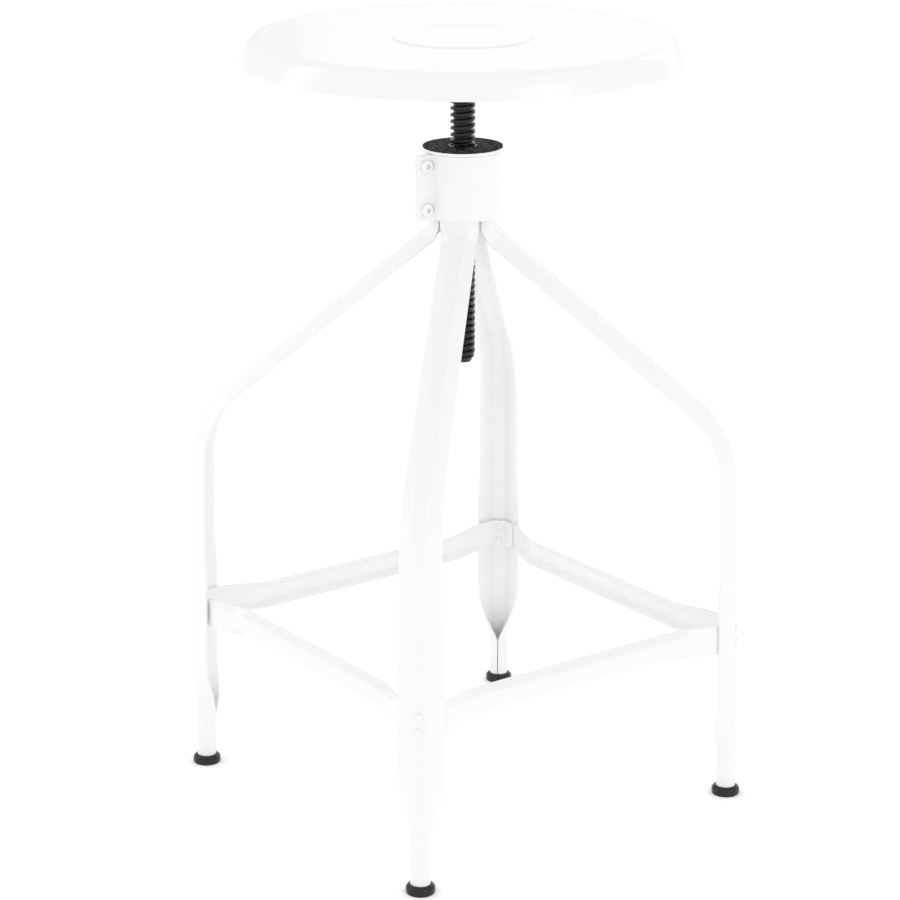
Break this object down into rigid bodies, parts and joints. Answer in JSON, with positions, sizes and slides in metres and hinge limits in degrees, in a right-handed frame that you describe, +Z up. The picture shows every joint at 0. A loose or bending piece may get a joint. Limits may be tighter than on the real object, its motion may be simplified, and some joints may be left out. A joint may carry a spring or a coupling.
{
  "type": "machinist stool",
  "caption": "Backless round metal stool: dished pressed seat on a lifting screw over clamped, splayed channel legs tied by a square of riveted rails.",
  "frame": {"origin": "on the floor, under the middle of the seat and on the lifting screw's axis", "axes": "+Z up along the lifting screw, -Y towards the clamp's ears, legs on the diagonals between X and Y"},
  "size_m": [0.3599, 0.36, 0.646],
  "materials": {
    "white_powder_coat": "glossy white powder coat",
    "white_rivets": "glossy white powder coat over the rivets",
    "black_steel": "glossy black",
    "black_speckled_disc": "black with a fine speckle",
    "black_glide": "satin moulded plastic",
    "black_rubber": "matte"
  },
  "bodies": {
    "frame": {"leg_front_right": "white_powder_coat", "leg_back_right": "white_powder_coat", "leg_back_left": "white_powder_coat", "leg_front_left": "white_powder_coat", "rail_front": "white_powder_coat", "rail_right": "white_powder_coat", "rail_back": "white_powder_coat", "rail_left": "white_powder_coat", "leg_rivets_front_right": "white_rivets", "leg_rivets_back_right": "white_rivets", "leg_rivets_back_left": "white_rivets", "leg_rivets_front_left": "white_rivets", "foot_glide_front_right": "black_glide", "foot_glide_back_right": "black_glide", "foot_glide_back_left": "black_glide", "foot_glide_front_left": "black_glide", "hub": "white_powder_coat", "hub_cover_disc": "black_speckled_disc", "clamp_band": "white_powder_coat", "clamp_screws": "white_powder_coat", "clamp_nuts": "white_powder_coat"},
    "lift_ring": {"seat_buffer": "black_rubber"},
    "seat": {"seat_pan": "white_powder_coat", "seat_mount_plate": "white_powder_coat", "screw_boss": "black_steel", "lifting_screw": "black_steel"}
  },
  "joints": [
    {"name": "seat_lift", "type": "slide", "parent": "frame", "child": "lift_ring", "axis": [0, 0, 1], "range_m": [-0.0541, 0.1189]},
    {"name": "seat_turn", "type": "hinge", "parent": "lift_ring", "child": "seat", "pos_m": [0, 0, 0.617], "axis": [0, 0, 1], "range_deg": [-3600, 7920]}
  ],
  "couplings": [
    {"joint": "seat_lift", "follows": "seat_turn", "m_per_rad": 0.00085944}
  ]
}
